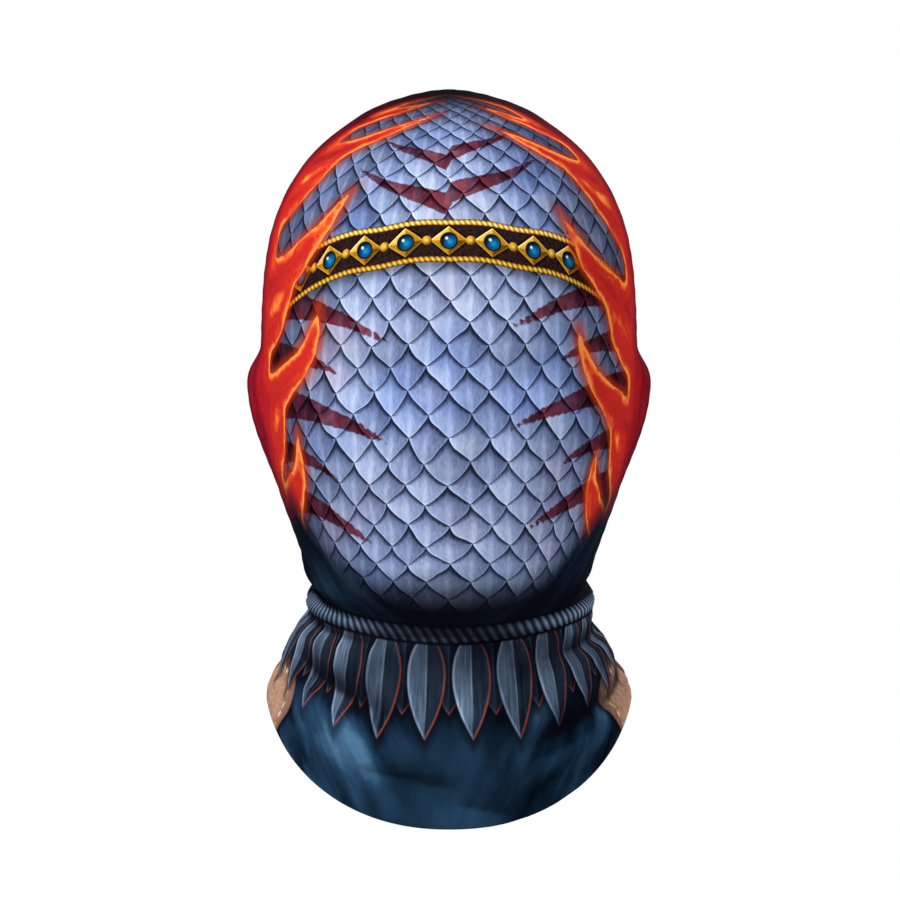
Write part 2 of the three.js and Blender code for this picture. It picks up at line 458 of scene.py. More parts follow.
def cloth_normal(angle, place):
    """Directions out of the cloth."""
    around = cloth_point(angle + NORMAL_STEP, place) - cloth_point(angle - NORMAL_STEP, place)
    low = np.maximum(place - NORMAL_STEP, 0)
    high = np.minimum(place + NORMAL_STEP, LAST_SECTION - NORMAL_STEP)
    up = cloth_point(angle, high) - cloth_point(angle, low)
    return unit(np.cross(around, up))


def seam_relief(from_seam, along):
    """How far the seam draws the cloth in and puckers it, by distance from it and height along it."""
    dip = -SEAM_DIP * hump(from_seam / SEAM_DIP_REACH)
    drift = PUCKER_DRIFT * np.sin(along / PUCKER_DRIFT_LENGTH)
    ripple = np.sin(along * 2 * math.pi / PUCKER_SPACING + drift)
    return dip + PUCKER_HEIGHT * ripple * hump(from_seam / PUCKER_REACH)


def dressed_point(angle, place):
    """Points on the outside of the cloth with small wrinkles and the seam's pull, and their normals."""
    points = cloth_point(angle, place)
    normal = cloth_normal(angle, place)
    x, y, z = np.moveaxis(points, -1, 0)
    relief = fold_lift(np.broadcast_to(angle, z.shape), z, WRINKLES)
    relief = relief + seam_relief(np.abs(y), z + np.abs(x) * (z > EAR_HEIGHT))
    return points + normal * relief[..., None], normal


def eased(normal):
    """A grid's normals evened out between rows, so that the inside of a tight roll doesn't cross itself."""
    for _ in range(EASING_ROUNDS):
        padded = np.concatenate([normal[:1], normal, normal[-1:]])
        normal = padded[:-2] + padded[1:-1] + padded[2:]
    return unit(normal)


def arc_lengths(points, axis):
    """Lengths along an axis of a grid of points, from its first point."""
    steps = np.linalg.norm(np.diff(points, axis=axis), axis=-1)
    zero = np.zeros_like(np.take(steps, [0], axis=axis))
    return np.concatenate([zero, np.cumsum(steps, axis=axis)], axis=axis)


def row_places(rows):
    """Places of mesh rows from the hem to just below the crown, about evenly spaced on the cloth."""
    fine = np.linspace(0, LAST_SECTION - NORMAL_STEP, SECTION_SAMPLES * LAST_SECTION)
    angles = np.radians(ROW_ANGLES)
    lengths = arc_lengths(cloth_point(angles[None, :], fine[:, None], ()), 0).mean(axis=1)
    wanted = np.linspace(WALL / 2, lengths[-1], rows + 1)[:-1]
    return np.interp(wanted, lengths, fine)


def cloth_map(angles, places):
    """Places of a grid on the smooth cloth: across from the middle of the front, up, and off the seam.

    Up is measured along the cloth from the ears, and the inset from the seam is negative behind it.
    """
    turns = np.radians(np.arange(2 * SEAM_ANGLE + 1))
    girths = arc_lengths(cloth_point(turns[None, :], places[:, None], ()), 1)
    from_front = np.abs(np.arctan2(np.sin(angles), np.cos(angles)))
    reach = np.array([np.interp(from_front, turns, girth) for girth in girths])
    full_turn = 2 * girths[:, -1:]
    side = np.where(angles > math.pi, -1, np.sign(angles))
    across = np.where(angles > math.pi, full_turn, 0) + side * reach
    inset = girths[:, SEAM_ANGLE : SEAM_ANGLE + 1] - reach
    climb = arc_lengths(cloth_point(angles[None, :], places[:, None], ()), 0)
    at_ear = np.array([np.interp(EAR_SECTION, places, column) for column in climb.T])
    return across, climb - at_ear[None, :] + EAR_HEIGHT, inset


def scale_lattice(angles, places):
    """Columns and rows of the hide's scales: so many round the head, in rows that follow the sections."""
    turns = np.radians(np.arange(0, 360, RING_STEP))
    ring = cloth_point(turns[None, :], places[:, None], ())
    girth = np.linalg.norm(ring - np.roll(ring, 1, axis=1), axis=-1).sum(axis=1)
    width = np.maximum(girth / SCALES_ROUND, LEAST_SCALE)
    climb = arc_lengths(ring, 0).mean(axis=1)
    step = np.diff(climb) / (SCALE_ROW_SHARE * (width[1:] + width[:-1]) / 2)
    rows = np.concatenate([[0], np.cumsum(step)])
    column = angles / math.pi * SCALES_ROUND / 2
    return np.broadcast_arrays(column[None, :], (rows[-1] - rows)[:, None])


def tapered_depth(x, y, root, bend, tip, half_width):
    """How deep points lie inside a bent, tapering stroke. Outside it the depth is negative."""
    depth = np.full(x.shape, FAR_OUTSIDE)
    for t in np.linspace(0, 1, STROKE_STEPS):
        middle = [(1 - t) ** 2 * a + 2 * t * (1 - t) * b + t * t * c for a, b, c in zip(root, bend, tip)]
        radius = half_width * (1 - t) ** STROKE_TAPER
        depth = np.maximum(depth, radius - np.hypot(x - middle[0], y - middle[1]))
    return depth


def flame_depth(across, height, inset):
    """How deep points lie inside the flames along the seam."""
    from_seam = np.abs(inset)
    shifted = height + FLAME_SHIFT * np.sign(across)
    band = np.interp(shifted, [row.height for row in FLAME_BAND], [row.inset for row in FLAME_BAND])
    joined = np.exp((band - from_seam) / FLAME_JOIN)
    for flame in FLAMES:
        root = (flame.root_inset, flame.root_height)
        tip = (flame.tip_inset, flame.tip_height)
        bend_inset = root[0] + FLAME_BEND_IN * (tip[0] - root[0])
        bend = (bend_inset, root[1] + FLAME_BEND_UP * (tip[1] - root[1]))
        tongue = tapered_depth(from_seam, shifted, root, bend, tip, flame.half_width)
        joined += np.exp(tongue / FLAME_JOIN)
    return FLAME_JOIN * np.log(joined)


def stripe_depth(across, height):
    """How deep points lie inside the painted stripes."""
    from_middle = np.abs(across)
    shifted = height - STRIPE_SHIFT * np.sign(across)
    depth = np.full(across.shape, FAR_OUTSIDE)
    for stripe in STRIPES:
        root = (stripe.root_across, stripe.root_height)
        tip = (stripe.tip_across, stripe.tip_height)
        bend_height = root[1] + STRIPE_BEND_UP * (tip[1] - root[1]) + STRIPE_ARCH
        bend = ((root[0] + tip[0]) / 2, bend_height)
        depth = np.maximum(depth, tapered_depth(from_middle, shifted, root, bend, tip, stripe.half_width))
    return depth


def keep_on_panel(mesh, name, *grids):
    """Keeps three numbers at each point of a panel for the materials, from their grids on the outside."""
    columns = []
    for grid in grids:
        hem = np.repeat(grid[:1], HEM_STEPS, axis=0)
        crown = [grid[-1].mean()] * 2
        columns.append(np.append(np.concatenate([grid[::-1], hem, grid]), crown))
    layer = mesh.attributes.new(name, "FLOAT_VECTOR", "POINT")
    layer.data.foreach_set("vector", np.stack(columns, axis=-1).astype(np.float32).ravel())


def new_object(name, mesh, materials):
    """A smooth object in the scene."""
    piece = bpy.data.objects.new(name, mesh)
    bpy.context.scene.collection.objects.link(piece)
    for material in materials:
        mesh.materials.append(material)
    mesh.shade_smooth()
    return piece


def panel_points(outside, normal):
    """A panel's points: a grid down the outside, round the hem and up the inside, then two at the crown."""
    inside = outside - WALL * normal
    down = unit(outside[0] - outside[1])
    core = (outside[0] + inside[0]) / 2
    turns = np.linspace(0, math.pi, HEM_STEPS + 2)[1:-1]
    hem = [core + WALL / 2 * (math.cos(turn) * normal[0] + math.sin(turn) * down) for turn in turns]
    grid = np.concatenate([outside[::-1], np.array(hem), inside])
    top = np.array([0, 0, HOOD_HEIGHT - SEAM_DIP])
    return np.concatenate([grid.reshape(-1, 3), [top, top - [0, 0, WALL]]])


def panel_faces(columns, rows):
    """A panel's faces, and whether each is printed: outside, hem and the edges at the seam are."""
    count = 2 * rows + HEM_STEPS
    index = np.arange(count * (columns + 1)).reshape(count, columns + 1)
    crown_out = index.size
    crown_in = index.size + 1
    quads = np.stack([index[:-1, :-1], index[1:, :-1], index[1:, 1:], index[:-1, 1:]], axis=-1)
    faces = [list(quad) for quad in quads.reshape(-1, 4)]
    printed = [row < rows + HEM_STEPS for row in range(count - 1) for _ in range(columns)]
    for column in range(columns):
        faces.append([crown_out, index[0, column], index[0, column + 1]])
        faces.append([crown_in, index[-1, column + 1], index[-1, column]])
        printed += [True, False]
    first = [crown_out, *index[:, 0], crown_in]
    last = [crown_out, *index[:, -1], crown_in]
    for row in range(rows):
        far = len(first) - 1 - row
        faces.append([first[row], first[far], first[far - 1], first[row + 1]])
        faces.append([last[row + 1], last[far - 1], last[far], last[row]])
    for edge, step in ((first, -1), (last, 1)):
        faces.append(edge[rows : rows + HEM_STEPS + 2][::step])
    printed += [True] * (2 * rows + 2)
    return faces, printed


def cloth_panel(name, middle, columns, rows, materials):
    """A closed panel of cloth round a middle in degrees, and its worn width, length and area in metres."""
    angles = np.radians(middle + np.linspace(-SEAM_ANGLE, SEAM_ANGLE, columns + 1))
    places = row_places(rows)
    outside, normal = dressed_point(angles[None, :], places[:, None])
    points = panel_points(outside, eased(normal))
    points[:, 1] -= math.cos(math.radians(middle)) * SEAM_OPENING / 2
    points[:, 2] += WALL - HOOD_HEIGHT
    faces, printed = panel_faces(columns, rows)
    mesh = bpy.data.meshes.new(name)
    mesh.from_pydata((points * MM).tolist(), [], faces)
    mesh.polygons.foreach_set("material_index", [0 if face else 1 for face in printed])
    piece = new_object(name, mesh, materials)
    mesh.set_sharp_from_angle(angle=math.radians(SHARP_EDGE))

    across, height, inset = cloth_map(angles, places)
    column, row = scale_lattice(angles, places)
    flame = flame_depth(across, height, inset)
    stripe = stripe_depth(across, height)
    z = outside[..., 2]
    # Painted shade in the creases and painted light on the rolls, kept with the flames and stripes for the
    # print's colour
    fold = painted_fold_shading(np.broadcast_to(angles, z.shape), z)
    keep_on_panel(mesh, "cloth", across, height, z)
    keep_on_panel(mesh, "hide", column, row, inset)
    keep_on_panel(mesh, "ink_and_fold_shade", flame, stripe, fold)

    worn_width = np.ptp(across, axis=1).max()
    worn_length = np.ptp(height, axis=0).max()
    cells = np.cross(np.diff(outside[:, :-1], axis=0), np.diff(outside[:-1], axis=1))
    worn_area = np.linalg.norm(cells, axis=-1).sum()
    return piece, worn_width * MM, worn_length * MM, worn_area * MM * MM


def seam_stitches(name, material):
    """Short rungs of thread across the seam, from the hem on one side over the crown to the other."""
    places = row_places(SEAM_FINENESS * FRONT_ROWS)
    places = np.concatenate([places, places[::-1]])
    angles = np.repeat(np.radians([SEAM_ANGLE, -SEAM_ANGLE]), len(places) // 2)
    path, away = dressed_point(angles, places)
    lengths = arc_lengths(path, 0)
    wanted = np.arange(STITCH_SPACING, lengths[-1] - STITCH_SPACING, STITCH_SPACING)
    middle = np.stack([np.interp(wanted, lengths, path[:, k]) for k in range(3)], axis=-1)
    out = np.stack([np.interp(wanted, lengths, away[:, k]) for k in range(3)], axis=-1)
    ahead = unit(np.gradient(middle, axis=0))
    leans = np.tile([1, -1], len(middle))

    reach = np.linspace(-1, 1, STITCH_RINGS)
    y = reach * STITCH_REACH
    over_cloth = THREAD_RADIUS * (STITCH_PROUD - STITCH_DIVE * reach**4)
    lift = SEAM_DIP * (1 - hump(y / SEAM_DIP_REACH)) + over_cloth
    sides = np.linspace(0, 2 * math.pi, THREAD_SIDES + 1)[:-1]
    points = []
    faces = []
    for centre, up, forward, lean in zip(middle, out, ahead, leans):
        line = centre + np.outer(y, [0, 1, 0]) + np.outer(lift, up)
        line = line + np.outer(y * STITCH_SLANT * lean, forward)
        base = len(points)
        for spot in line:
            points += [spot + THREAD_RADIUS * (math.cos(a) * up + math.sin(a) * forward) for a in sides]
        for ring in range(STITCH_RINGS - 1):
            for side in range(THREAD_SIDES):
                a = base + ring * THREAD_SIDES + side
                b = base + ring * THREAD_SIDES + (side + 1) % THREAD_SIDES
                faces.append([a, a + THREAD_SIDES, b + THREAD_SIDES, b])
        far_end = base + (STITCH_RINGS - 1) * THREAD_SIDES
        faces.append([base + side for side in range(THREAD_SIDES)])
        faces.append([far_end + side for side in reversed(range(THREAD_SIDES))])
    points = np.array(points) + [0, 0, WALL - HOOD_HEIGHT]
    mesh = bpy.data.meshes.new(name)
    mesh.from_pydata((points * MM).tolist(), [], faces)
    return new_object(name, mesh, [material])


# Shader nodes as sums


class Field:
    """A value that varies over a surface: the output of a shader node. Arithmetic on it adds math nodes."""

    def __init__(self, socket):
        self.socket = socket

    def __add__(self, other):
        return calc("ADD", self, other)

    def __sub__(self, other):
        return calc("SUBTRACT", self, other)

    def __mul__(self, other):
        return calc("MULTIPLY", self, other)

    def __truediv__(self, other):
        return calc("DIVIDE", self, other)

    def __rsub__(self, other):
        return calc("SUBTRACT", other, self)

    __radd__ = __add__
    __rmul__ = __mul__


def wire(socket, value):
    """Feeds a socket from a field, or sets it to a plain value."""
    if isinstance(value, Field):
        value.socket.id_data.links.new(value.socket, socket)
    else:
        socket.default_value = value


def node_for(kind, *values):
    """A new node in the tree of the first field among some values."""
    tree = next(value.socket.id_data for value in values if isinstance(value, Field))
    return tree.nodes.new(kind)


def calc(operation, *values):
    """A math node."""
    node = node_for("ShaderNodeMath", *values)
    node.operation = operation
    for socket, value in zip(node.inputs, values):
        wire(socket, value)
    return Field(node.outputs[0])


def rise(value, low, high):
    """0 to 1 as a value goes from low to high, level at both ends."""
    node = node_for("ShaderNodeMapRange", value)
    node.interpolation_type = "SMOOTHSTEP"
    for socket, number in zip(node.inputs, (value, low, high, 0, 1)):
        wire(socket, number)
    return Field(node.outputs[0])


def size(value):
    """A value without its sign."""
    return calc("ABSOLUTE", value)


def centred(value):
    """A value's distance from the nearest whole number, from -0.5 to 0.5."""
    return value - calc("ROUND", value)


def blend(share, under, over, kind="MIX"):
    """Two colours mixed by a share."""
    node = node_for("ShaderNodeMix", share, under, over)
    node.data_type = "RGBA"
    node.blend_type = kind
    for socket, value in zip((node.inputs[0], node.inputs[6], node.inputs[7]), (share, under, over)):
        wire(socket, value)
    return Field(node.outputs[2])


def colour(red, green, blue):
    """A screen colour as the linear colour that shaders take."""
    channels = [value / 255 for value in (red, green, blue)]
    linear = [c / 12.92 if c <= 0.04045 else ((c + 0.055) / 1.055) ** 2.4 for c in channels]
    return (*linear, 1)


def shades(value, *stops):
    """A colour by a value from 0 to 1, through stops of place and colour."""
    node = node_for("ShaderNodeValToRGB", value)
    elements = node.color_ramp.elements
    while len(elements) < len(stops):
        elements.new(1)
    for element, (place, shade) in zip(elements, stops):
        element.position = place
        element.color = shade
    wire(node.inputs[0], value)
    return Field(node.outputs[0])


def noise(spot, scale, detail=2, roughness=0.5):
    """Soft noise from 0 to 1."""
    node = node_for("ShaderNodeTexNoise", spot)
    settings = {"Vector": spot, "Scale": scale, "Detail": detail, "Roughness": roughness}
    for name, value in settings.items():
        wire(node.inputs[name], value)
    return Field(node.outputs[0])


def chance(spot):
    """A random number from 0 to 1 for each whole place."""
    node = node_for("ShaderNodeTexWhiteNoise", spot)
    wire(node.inputs["Vector"], spot)
    return Field(node.outputs["Value"])


def point(x, y, z=0.0):
    """Three numbers as one vector."""
    node = node_for("ShaderNodeCombineXYZ", x, y, z)
    for socket, value in zip(node.inputs, (x, y, z)):
        wire(socket, value)
    return Field(node.outputs[0])


def kept(tree, name):
    """The three numbers that a mesh keeps at its points under a name."""
    source = tree.nodes.new("ShaderNodeAttribute")
    source.attribute_name = name
    node = tree.nodes.new("ShaderNodeSeparateXYZ")
    wire(node.inputs[0], Field(source.outputs["Vector"]))
    return [Field(socket) for socket in node.outputs]


def object_spot(tree):
    """The place in the object's own space, in millimetres."""
    source = tree.nodes.new("ShaderNodeTexCoord")
    node = tree.nodes.new("ShaderNodeVectorMath")
    node.operation = "SCALE"
    wire(node.inputs[0], Field(source.outputs["Object"]))
    node.inputs["Scale"].default_value = 1 / MM
    return Field(node.outputs[0])


def bumped(shader, height, reach):
    """Gives a shader small relief, from a height of about 1 and its real reach in millimetres."""
    node = node_for("ShaderNodeBump", height)
    node.inputs["Distance"].default_value = reach * MM
    wire(node.inputs["Height"], height)
    wire(shader.inputs["Normal"], Field(node.outputs[0]))


def spread(value, low, high):
    """A value from 0 to 1 as one from low to high."""
    return value * (high - low) + low


def new_material(name, specular, sheen):
    """A material with one principled shader, and that shader."""
    material = bpy.data.materials.new(name)
    material.use_nodes = True
    shader = material.node_tree.nodes["Principled BSDF"]
    shader.inputs["Specular IOR Level"].default_value = specular
    shader.inputs["Sheen Weight"].default_value = sheen
    return material, shader


# The print with its painted shade and light, from each point's place on the cloth in millimetres. Tones and
# shares run from 0 to 1.

BLACK = colour(9, 10, 17)
# the colour of the shade painted over the bib under the chin
THROAT_SHADE = colour(8, 12, 22)


def hide_tone(column, row, spot):
    """Overlapping pointed scales as light and dark, from 0 to 1."""
    column = column + (noise(spot, 0.03) - 0.5) * 0.5
    row = row + (noise(spot, 0.041) - 0.5) * 0.6
    level = calc("FLOOR", row)
    down = row - level
    odd = calc("MODULO", level, 2)
    upper_x = centred(column + odd * 0.5 - 0.5)
    own_x = centred(column - odd * 0.5)
    edge = 0.5 - calc("POWER", down, SCALE_POINT) * 0.5 - size(upper_x)
    over = calc("GREATER_THAN", edge, 0)
    x = own_x + (upper_x - own_x) * over
    y = down + over
    lot = chance(point(calc("FLOORED_MODULO", column - x + 0.25, SCALES_ROUND), level - over))
    shadow = rise(edge, -0.2, 0) * (1 - over)
    rim = rise(edge, 0.075, 0.02) * over
    line = rise(size(edge), 0.03, 0.008)
    keel = rise(size(x), 0.13, 0) * rise(y, 0.4, 1.1)
    fibre = noise(point(x * 10, y * 1.5, lot * 9), 2.2, 4)
    tone = 0.5 + rise(y, 0.1, 1.5) * 0.24 - x * 0.34 + keel * 0.14
    tone = tone + rim * 0.16 + (lot - 0.5) * 0.2 + (fibre - 0.5) * 0.34
    return tone - shadow * 0.36 - line * 0.3


def hide_colour(tone, light):
    """Bone and lavender scales, darker where less light falls on them."""
    return shades(
        tone * light,
        (0.0, colour(12, 14, 24)),
        (0.22, colour(48, 56, 80)),
        (0.42, colour(94, 106, 140)),
        (0.62, colour(142, 156, 192)),
        (0.8, colour(180, 194, 224)),
        (1.0, colour(218, 226, 242)),
    )


def add_stripes(under, stripe, spot):
    """Ragged dark red stripes painted on the hide."""
    ragged = stripe + (noise(spot, 0.4, 4, 0.6) - 0.5) * 2.2
    strength = rise(ragged, -0.1, 0.6) * (0.74 + noise(spot, 0.16, 2) * 0.36)
    stained = blend(1.0, under, colour(172, 26, 38), "MULTIPLY")
    stained = blend(rise(ragged, 1.6, 0.2) * 0.5, stained, colour(64, 10, 20))
    return blend(calc("MINIMUM", strength, 0.94), under, stained)


def gold(tone):
    """Gold by light and dark."""
    return shades(
        tone,
        (0.0, colour(40, 22, 8)),
        (0.3, colour(112, 72, 14)),
        (0.6, colour(186, 134, 32)),
        (0.85, colour(232, 192, 74)),
        (1.0, colour(252, 236, 170)),
    )


def add_jewelled_band(under, across, height, inset, spot):
    """A strap over the brow with gold edges and gold lozenges, each set with a blue stone."""
    up = height - (BAND_HEIGHT - across * across * BAND_BEND)
    reach = size(up)
    shown = rise(inset, *BAND_END)
    strap = rise(reach, BAND_HALF + 0.4, BAND_HALF - 0.2) * shown
    leather = shades(
        noise(spot, 0.9, 4),
        (0.3, colour(14, 10, 14)),
        (0.7, colour(58, 36, 34)),
    )
    cord = (reach - BAND_HALF + BAND_CORD_INSET) / BAND_CORD_RADIUS
    twist = calc("SINE", across * 2.6 + up * 1.4) * 0.2
    rope = gold(0.78 - cord * cord * 0.5 + twist + up * 0.008)
    design = blend(rise(size(cord), 1.1, 0.9), leather, rope)
    x = centred(across / LOZENGE_PITCH) * LOZENGE_PITCH
    a = x / LOZENGE_HALF_WIDTH
    b = up / LOZENGE_HALF_HEIGHT
    inside = 1 - size(a) - size(b)
    facet = 0.52 + rise(b, -0.06, 0.06) * 0.3 - rise(a, -0.06, 0.06) * 0.26
    facet = facet + (noise(spot, 0.7, 3) - 0.5) * 0.3 + rise(inside, 0.2, 0.08) * 0.16
    design = blend(rise(inside, -0.18, 0.02), design, colour(10, 6, 8))
    design = blend(rise(inside, 0.02, 0.07), design, gold(facet))
    far = centred(across / LOZENGE_PITCH - 0.5) * LOZENGE_PITCH
    stud = calc("SQRT", far * far + up * up)
    knob = gold(0.9 - stud * 0.22 - far * 0.1 + up * 0.1)
    design = blend(rise(stud, STUD_RADIUS, STUD_RADIUS - 0.4), design, knob)
    gem = calc("SQRT", x * x + up * up)
    design = blend(rise(gem, GEM_RADIUS + 1.0, GEM_RADIUS + 0.6), design, colour(24, 14, 8))
    glow = rise(gem, GEM_RADIUS, 0) * 0.4 + rise(up - x, 3.5, -4.5) * 0.34
    stone = shades(
        glow,
        (0.0, colour(4, 22, 40)),
        (0.35, colour(12, 88, 138)),
        (0.7, colour(40, 158, 208)),
        (1.0, colour(150, 226, 244)),
    )
    design = blend(rise(gem, GEM_RADIUS + 0.3, GEM_RADIUS - 0.1), design, stone)
    spark = calc("SQRT", (x + 1) * (x + 1) + (up - 1.1) * (up - 1.1))
    design = blend(rise(spark, 0.9, 0.3), design, colour(226, 246, 252))
    shadow = rise(up, -BAND_HALF - BAND_SHADOW, -BAND_HALF) * rise(up, 1, -1) * shown * 0.62
    return blend(strap, blend(shadow, under, BLACK), design)


def add_flames(under, flame, height, inset, spot):
    """Flames along the seam, bright at their edge and deep red inside, with their glow on the hide."""
    lick = noise(spot, 0.055, 4, 0.55)
    core = noise(point(inset * 0.075, height * 0.024 + size(inset) * 0.02), 1.6, 5, 0.5)
    depth = flame + (lick - 0.5) * 5
    glow = rise(depth, -13, 0)
    lit = blend(glow * glow * 0.8, under, colour(255, 142, 92), "MULTIPLY")
    lit = blend(rise(depth, -4.5, 0) * 0.5, lit, colour(206, 62, 28))
    streak = calc("SINE", flame * 0.85 + lick * 22) * 0.05 + (core - 0.5) * rise(depth, 7, 24) * 1.1
    fire = shades(
        depth / 27 + streak,
        (0.0, colour(250, 150, 72)),
        (0.05, colour(232, 92, 44)),
        (0.15, colour(206, 48, 38)),
        (0.45, colour(174, 30, 38)),
        (0.8, colour(122, 18, 36)),
        (1.0, colour(86, 14, 34)),
    )
    dark_top = rise(height, *FIRE_DARK_UP) * rise(depth, 1, 9)
    fire = blend(dark_top, fire, colour(66, 12, 26))
    return blend(rise(depth, -0.35, 0.35), lit, fire)


def steel(tone):
    """Blue steel by light and dark."""
    return shades(
        tone,
        (0.0, colour(10, 14, 22)),
        (0.3, colour(42, 54, 70)),
        (0.6, colour(98, 118, 142)),
        (0.85, colour(160, 180, 204)),
        (1.0, colour(222, 232, 242)),
    )


def add_leaves(under, turn, inset, drop, shift, length_share, dimming):
    """One row of pointed steel leaves that hang from the collar."""
    place = turn * LEAVES_ROUND + shift
    leaf = calc("ROUND", place)
    x = (place - leaf) * LEAF_PITCH
    length = (LEAF_LENGTH - rise(inset, *LEAF_TURN) * LEAF_SHORTENING) * length_share
    y = calc("MAXIMUM", drop / length, 0)
    edge = calc("POWER", y, LEAF_SHOULDER) * (1 - y) * LEAF_FULLNESS - size(x)
    brushed = noise(point(x * 1.3, y * 2.5, leaf * 3.7), 1.0, 4, 0.6)
    shine = noise(point(x * 0.1, y * 2.2, leaf * 5.3), 1.0, 2)
    facet = 0.58 - rise(x, -0.35, 0.35) * 0.3 + (brushed - 0.5) * 0.5 + (shine - 0.5) * 0.6
    rib = rise(size(x), 0.5, 0.15) * rise(y, 0.9, 0.5)
    facet = facet + rise(edge, 1.7, 0.9) * 0.2 + rib * 0.24 - y * 0.18
    blade = steel(facet * dimming)
    warm = rise(edge, 1.2, 0.5) * rise(x, -1, 1)
    blade = blend(warm, blade, colour(150, 60, 22))
    dark = blend(rise(edge, -4.5, 0) * 0.75 * rise(y, 0, 0.1), under, BLACK)
    return blend(rise(edge, 0.1, 0.7), dark, blade)


def add_collar(under, column, inset, z):
    """A collar of steel leaves in two rows that hang from a twisted cord, all the way round."""
    turn = column / SCALES_ROUND
    drop = COLLAR_Z + rise(inset, *COLLAR_TURN) * COLLAR_CLIMB - z
    design = add_leaves(under, turn, inset, drop, shift=0.0, length_share=0.76, dimming=0.62)
    design = add_leaves(design, turn, inset, drop, shift=0.5, length_share=1.0, dimming=1.0)
    round_cord = drop / COLLAR_CORD_RADIUS
    lay = calc("SINE", turn * 2 * math.pi * CORD_TWISTS - drop * 0.9) * 0.24
    cord = steel(0.52 - round_cord * round_cord * 0.4 + lay)
    cord = blend(rise(size(round_cord), 0.75, 1.0), cord, BLACK)
    return blend(rise(size(round_cord), 1.35, 1.05), design, cord)


def bib_colour(across, inset, z, spot):
    """Slate cloth in soft strokes that run down towards the middle, with deep shade painted over it under
    the chin.
    """
    from_seam = size(inset)
    strokes = point((from_seam + z) * 0.062, (from_seam - z) * 0.009, across * 0.012)
    broad = noise(strokes, 1.0, 2)
    fine = noise(strokes, 9.0, 4, 0.65)
    fade = 1 - rise(from_seam, *BIB_MIDDLE_IN) * 0.8
    drawn = ((broad - 0.5) * 1.6 + (fine - 0.5) * 0.22) * fade
    brush = 0.54 + drawn + (noise(spot, 0.03, 2) - 0.5) * 0.5
    deep = shades(
        brush,
        (0.2, colour(3, 7, 14)),
        (0.45, colour(14, 30, 46)),
        (0.7, colour(36, 66, 92)),
        (0.95, colour(74, 112, 142)),
    )
    # Painted shade over the bib above a V through the collar creases, deepest under the chin
    above_shade_line = z + from_seam * 0.46 - 100 + (broad - 0.5) * 24
    return blend(rise(above_shade_line, -12, 14) * 0.84, deep, THROAT_SHADE)


def add_side_patches(under, inset, z, spot):
    """Tan leather over the shoulders, edged with a dark line and a row of stitches."""
    x = calc("POWER", size(inset / PATCH_HALF_WIDTH), PATCH_POWER)
    y = calc("POWER", size((z - PATCH_Z) / PATCH_HALF_HEIGHT), PATCH_POWER)
    ring = calc("POWER", x + y, PATCH_ROOT)
    suede = shades(
        noise(spot, 0.5, 5, 0.65),
        (0.3, colour(150, 108, 88)),
        (0.7, colour(204, 166, 142)),
    )
    dash = rise(calc("SINE", inset * 1.3) + calc("SINE", z * 1.3), 0.1, 0.5)
    suede = blend(rise(ring, 0.7, 0.98) * 0.6, suede, colour(92, 52, 42))
    suede = blend(rise(size(ring - 0.84), 0.035, 0.015) * dash, suede, colour(226, 200, 170))
    edged = blend(rise(ring, 1.12, 1.0) * 0.85, under, BLACK)
    return blend(rise(ring, 1.0, 0.96), edged, suede)


def hide_print(across, height, inset, column, row, flame, stripe, spot):
    """The head's print: the hide with its stripes, the band over the brow and the flames."""
    patchy = noise(spot, 0.018, 3)
    light = 0.3 + rise(inset, *HIDE_LIGHT_IN) * 0.54 + (patchy - 0.5) * 0.26
    light = light + rise(height, *HIDE_LIGHT_UP) * 0.08
    design = hide_colour(hide_tone(column, row, spot), light)
    design = blend(rise(patchy, 0.5, 0.7) * 0.8, design, colour(255, 228, 224), "MULTIPLY")
    design = blend(rise(patchy, 0.5, 0.3) * 0.8, design, colour(214, 230, 255), "MULTIPLY")
    design = add_stripes(design, stripe, spot)
    design = add_jewelled_band(design, across, height, inset, spot)
    return add_flames(design, flame, height, inset, spot)


def neck_print(across, inset, column, z, spot):
    """The neck's print: the bib with the leather and the collar on it."""
    design = bib_colour(across, inset, z, spot)
    design = add_side_patches(design, inset, z, spot)
    return add_collar(design, column, inset, z)


def add_shade(under, across, height, inset, z, fold):
    """The print darker towards the crown and behind the seam, a painted shadow under the chin, painted
    shade in the creases and painted light on the rolls.
    """
    shaded = blend(rise(height, *CROWN_DARK_UP), under, BLACK)
    shaded = blend(rise(inset, *BACK_DARK_IN) * 0.5, shaded, BLACK)
    # Painted shadow under the chin, darkest near the middle of the front
    painted_chin_shadow = rise(size(across), *CHIN_SHADOW_ACROSS)
    painted_chin_shadow = painted_chin_shadow * rise(z, *CHIN_SHADOW_FROM_Z) * rise(z, *CHIN_SHADOW_TO_Z)
    shaded = blend(painted_chin_shadow * 0.72, shaded, BLACK)
    # Painted shade in the creases, and painted light in slate blue on the rolls
    shaded = blend(rise(fold, 0, -0.9) * 0.86, shaded, BLACK)
    return blend(rise(fold, 0.15, 1) * 0.4, shaded, colour(38, 72, 100), "LIGHTEN")


def add_hatching(under, across, height, z):
    """Fine painted strokes over the whole print."""
    strokes = point(across * 0.9 + height * 0.5, height * 0.22 - across * 0.12, z * 0.01)
    hatch = noise(strokes, 1.4, 4, 0.7)
    paint = shades(hatch, (0.3, BLACK), (0.7, colour(196, 200, 214)))
    return blend((hatch - 0.5) * 0.3 + 0.24, under, paint, "SOFT_LIGHT")


